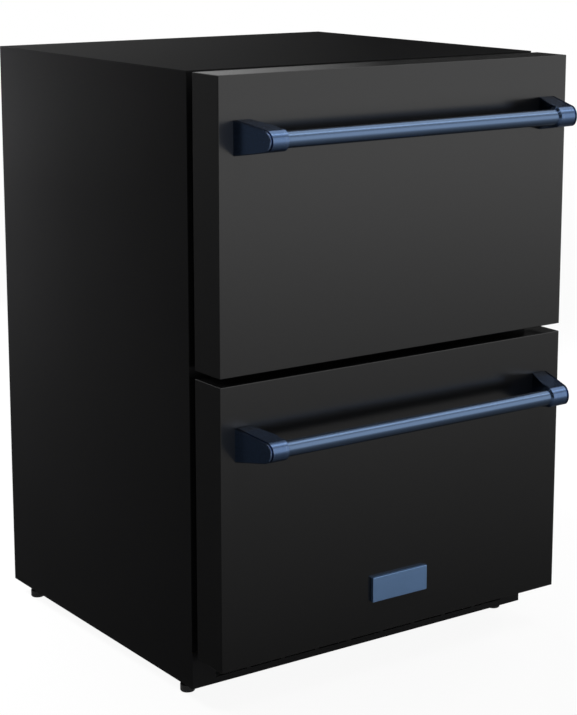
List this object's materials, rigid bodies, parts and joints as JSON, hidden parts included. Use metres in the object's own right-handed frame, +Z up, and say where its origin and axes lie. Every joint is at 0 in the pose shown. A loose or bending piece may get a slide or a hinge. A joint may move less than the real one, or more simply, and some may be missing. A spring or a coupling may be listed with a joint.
{
  "type": "undercounter drawer refrigerator",
  "caption": "Black undercounter refrigerator with two stacked pull-out drawers, blue tubular handles, levelling feet and a toe kick.",
  "frame": {"origin": "on the floor, under the middle of the whole outline with its handles", "axes": "+X to the right seen from the front, the drawer fronts face -Y, +Z up"},
  "size_m": [0.6, 0.6784, 0.874],
  "materials": {
    "case_black": "satin",
    "front_black": "matte",
    "frame_black": "satin",
    "bare_steel": "satin",
    "blue_steel": "brushed",
    "badge_blue": "brushed",
    "white_plastic": "gloss",
    "dark_plastic": "matte",
    "key_plastic": "matte",
    "seal_rubber": "matte",
    "foam": "matte",
    "lamp": "gloss",
    "copper": "satin",
    "fin_metal": "satin",
    "shell_black": "gloss"
  },
  "bodies": {
    "cabinet": {"side_panel_left": "case_black", "side_panel_right": "case_black", "top_panel": "case_black", "back_panel": "bare_steel", "rear_cover": "case_black", "base_pan": "bare_steel", "toe_kick": "case_black", "front_frame": "frame_black", "centre_mullion": "frame_black", "bulkhead": "bare_steel", "liner_upper": "white_plastic", "liner_lower": "white_plastic", "insulation": "foam", "rails_upper": "bare_steel", "rails_lower": "bare_steel", "evaporator": "fin_metal", "evaporator_cover": "white_plastic", "evaporator_fan_motor": "dark_plastic", "compressor": "shell_black", "compressor_mounts": "seal_rubber", "condenser": "shell_black", "condenser_fan_motor": "dark_plastic", "drip_tray": "dark_plastic", "refrigerant_pipes": "copper", "control_box": "bare_steel", "control_panel": "dark_plastic", "led_lamps": "lamp", "cord_gland": "seal_rubber", "case_screws": "bare_steel"},
    "drawer_upper": {"front_upper": "front_black", "front_foam_upper": "foam", "inner_panel_upper": "white_plastic", "gasket_upper": "seal_rubber", "handle_bar_upper": "blue_steel", "handle_brackets_upper": "blue_steel", "bin_upper": "white_plastic", "runners_upper": "bare_steel"},
    "drawer_lower": {"front_lower": "front_black", "front_foam_lower": "foam", "inner_panel_lower": "white_plastic", "gasket_lower": "seal_rubber", "handle_bar_lower": "blue_steel", "handle_brackets_lower": "blue_steel", "bin_lower": "white_plastic", "runners_lower": "bare_steel", "badge_plate": "badge_blue"},
    "evaporator_fan": {"evaporator_fan_wheel": "dark_plastic"},
    "condenser_fan": {"condenser_fan_wheel": "dark_plastic"},
    "foot_front_left": {"foot_front_left": "dark_plastic"},
    "foot_front_right": {"foot_front_right": "dark_plastic"},
    "foot_rear_left": {"foot_rear_left": "dark_plastic"},
    "foot_rear_right": {"foot_rear_right": "dark_plastic"},
    "slide_upper_left": {"mid_upper_left": "bare_steel"},
    "slide_upper_right": {"mid_upper_right": "bare_steel"},
    "slide_lower_left": {"mid_lower_left": "bare_steel"},
    "slide_lower_right": {"mid_lower_right": "bare_steel"},
    "key_power": {"key_power": "key_plastic"},
    "key_colder": {"key_colder": "key_plastic"},
    "key_warmer": {"key_warmer": "key_plastic"},
    "key_light": {"key_light": "key_plastic"}
  },
  "joints": [
    {"name": "drawer_upper", "type": "slide", "parent": "cabinet", "child": "drawer_upper", "axis": [0, -1, 0], "range_m": [0, 0.4]},
    {"name": "drawer_lower", "type": "slide", "parent": "cabinet", "child": "drawer_lower", "axis": [0, -1, 0], "range_m": [0, 0.4]},
    {"name": "slide_upper_left", "type": "slide", "parent": "cabinet", "child": "slide_upper_left", "axis": [0, -1, 0], "range_m": [0, 0.2]},
    {"name": "slide_upper_right", "type": "slide", "parent": "cabinet", "child": "slide_upper_right", "axis": [0, -1, 0], "range_m": [0, 0.2]},
    {"name": "slide_lower_left", "type": "slide", "parent": "cabinet", "child": "slide_lower_left", "axis": [0, -1, 0], "range_m": [0, 0.2]},
    {"name": "slide_lower_right", "type": "slide", "parent": "cabinet", "child": "slide_lower_right", "axis": [0, -1, 0], "range_m": [0, 0.2]},
    {"name": "key_power", "type": "slide", "parent": "cabinet", "child": "key_power", "axis": [0, 1, 0], "range_m": [0, 0.0012], "stiffness_N_per_m": 500},
    {"name": "key_colder", "type": "slide", "parent": "cabinet", "child": "key_colder", "axis": [0, 1, 0], "range_m": [0, 0.0012], "stiffness_N_per_m": 500},
    {"name": "key_warmer", "type": "slide", "parent": "cabinet", "child": "key_warmer", "axis": [0, 1, 0], "range_m": [0, 0.0012], "stiffness_N_per_m": 500},
    {"name": "key_light", "type": "slide", "parent": "cabinet", "child": "key_light", "axis": [0, 1, 0], "range_m": [0, 0.0012], "stiffness_N_per_m": 500},
    {"name": "foot_front_left", "type": "hinge", "parent": "cabinet", "child": "foot_front_left", "pos_m": [-0.283, -0.1593, 0], "axis": [0, 0, 1], "continuous": true},
    {"name": "foot_front_right", "type": "hinge", "parent": "cabinet", "child": "foot_front_right", "pos_m": [0.283, -0.1593, 0], "axis": [0, 0, 1], "continuous": true},
    {"name": "foot_rear_left", "type": "hinge", "parent": "cabinet", "child": "foot_rear_left", "pos_m": [-0.283, 0.2938, 0], "axis": [0, 0, 1], "continuous": true},
    {"name": "foot_rear_right", "type": "hinge", "parent": "cabinet", "child": "foot_rear_right", "pos_m": [0.283, 0.2938, 0], "axis": [0, 0, 1], "continuous": true},
    {"name": "evaporator_fan", "type": "hinge", "parent": "cabinet", "child": "evaporator_fan", "pos_m": [0, 0.263, 0.73513], "axis": [0, -1, 0], "continuous": true},
    {"name": "condenser_fan", "type": "hinge", "parent": "cabinet", "child": "condenser_fan", "pos_m": [-0.1648, 0.236, 0.0905], "axis": [-1, 0, 0], "continuous": true}
  ],
  "couplings": [
    {"joint": "slide_upper_left", "follows": "drawer_upper", "ratio": 0.5},
    {"joint": "slide_upper_right", "follows": "drawer_upper", "ratio": 0.5},
    {"joint": "slide_lower_left", "follows": "drawer_lower", "ratio": 0.5},
    {"joint": "slide_lower_right", "follows": "drawer_lower", "ratio": 0.5}
  ]
}
